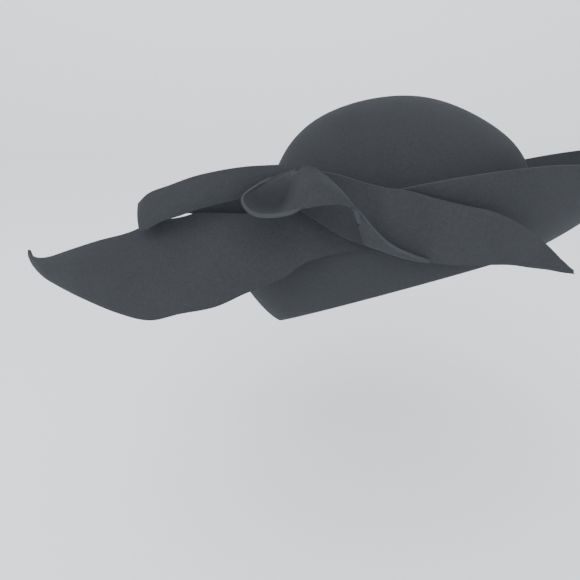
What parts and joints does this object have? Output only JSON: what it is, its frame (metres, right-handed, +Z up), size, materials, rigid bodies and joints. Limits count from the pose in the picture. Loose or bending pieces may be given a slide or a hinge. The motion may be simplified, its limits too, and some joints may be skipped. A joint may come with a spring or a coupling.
{
  "type": "felt hat",
  "caption": "Black felt hat with a domed crown, a wide turned-up brim drawn out to one side and a folded, twisted felt bow on its front",
  "frame": {"origin": "inside of the crown's top, where the wearer's head carries the hat", "axes": "+Z up with the hat leant as it is worn, +X along the brim's long side, away from the bow's left tail, +Y towards the back of the hat, away from the bow"},
  "size_m": [0.4827, 0.3291, 0.1908],
  "materials": {
    "hat_felt": "matt wool felt, black",
    "bow_felt": "matt wool felt, black"
  },
  "bodies": {
    "root": {"crown_and_brim": "hat_felt", "bow_left_tail": "bow_felt", "bow_left_loop": "bow_felt", "bow_right_tail": "bow_felt", "bow_twist": "bow_felt"}
  },
  "joints": []
}
